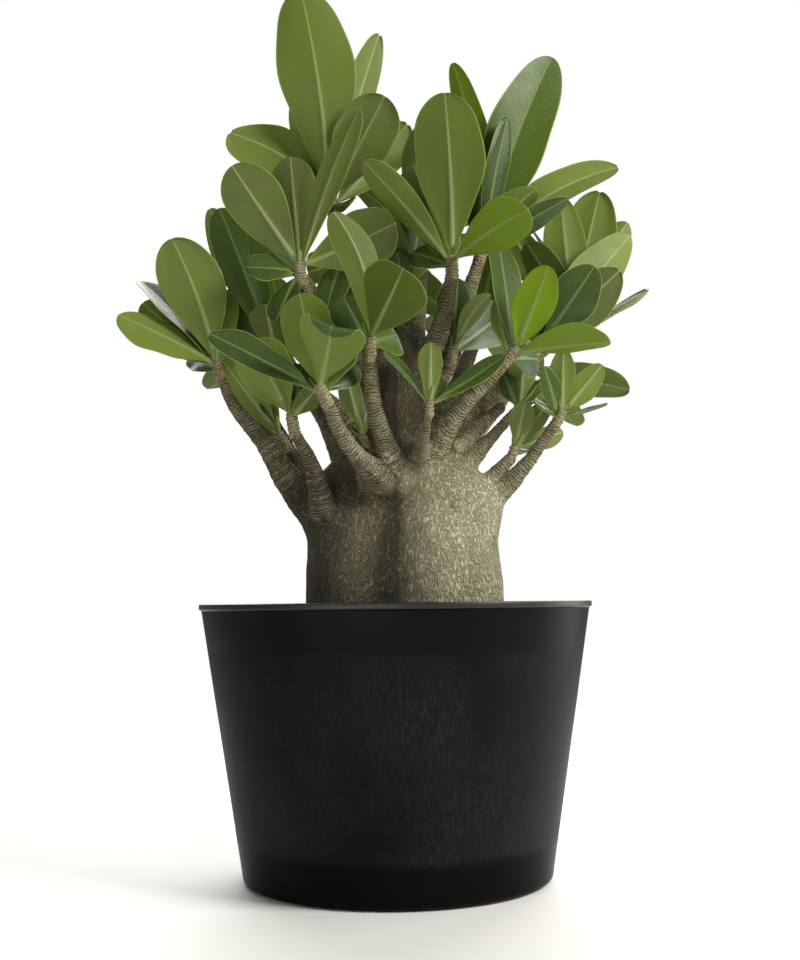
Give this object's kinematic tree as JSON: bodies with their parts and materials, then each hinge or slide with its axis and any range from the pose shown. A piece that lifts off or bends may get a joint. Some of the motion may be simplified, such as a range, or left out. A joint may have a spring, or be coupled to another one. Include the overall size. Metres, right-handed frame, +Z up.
{
  "type": "potted desert rose plant",
  "caption": "Desert rose (adenium) with a swollen grey trunk, short branches and spoon-shaped green leaves, in a plain black tapered nursery pot filled with soil.",
  "frame": {"origin": "middle of the pot's flat base, on the surface that it stands on", "axes": "+Z up along the pot's axis, the plant's front looks along -Y, +X to the right seen from the front"},
  "size_m": [0.3417, 0.3083, 0.5606],
  "materials": {
    "black_plastic": "satin moulded polypropylene with fine upright scuffs",
    "soil_mix": "coarse mix of bark, grit and peat",
    "bark": "matte, finely wrinkled grey-brown bark with leaf scars",
    "leaf": "waxy upper side, matte paler lower side with a raised midrib"
  },
  "bodies": {
    "root": {"pot": "black_plastic", "rosette_back_1": "leaf", "rosette_back_2": "leaf", "rosette_back_3": "leaf", "rosette_back_4": "leaf", "rosette_back_5": "leaf", "rosette_back_6": "leaf", "rosette_crown": "leaf", "rosette_front_left": "leaf", "rosette_front_middle": "leaf", "rosette_front_right": "leaf", "rosette_front_right_small": "leaf", "rosette_front_small": "leaf", "rosette_inner_left": "leaf", "rosette_inner_middle": "leaf", "rosette_inner_right": "leaf", "rosette_left_behind": "leaf", "rosette_left_low_behind": "leaf", "rosette_left_low_front": "leaf", "rosette_left_middle": "leaf", "rosette_left_outer": "leaf", "rosette_right_low": "leaf", "rosette_right_low_outer": "leaf", "rosette_right_middle": "leaf", "rosette_right_outer": "leaf", "rosette_right_twig": "leaf", "rosette_top_left": "leaf", "rosette_top_middle": "leaf", "rosette_top_right": "leaf", "soil": "soil_mix", "trunk_and_branches": "bark"}
  },
  "joints": []
}
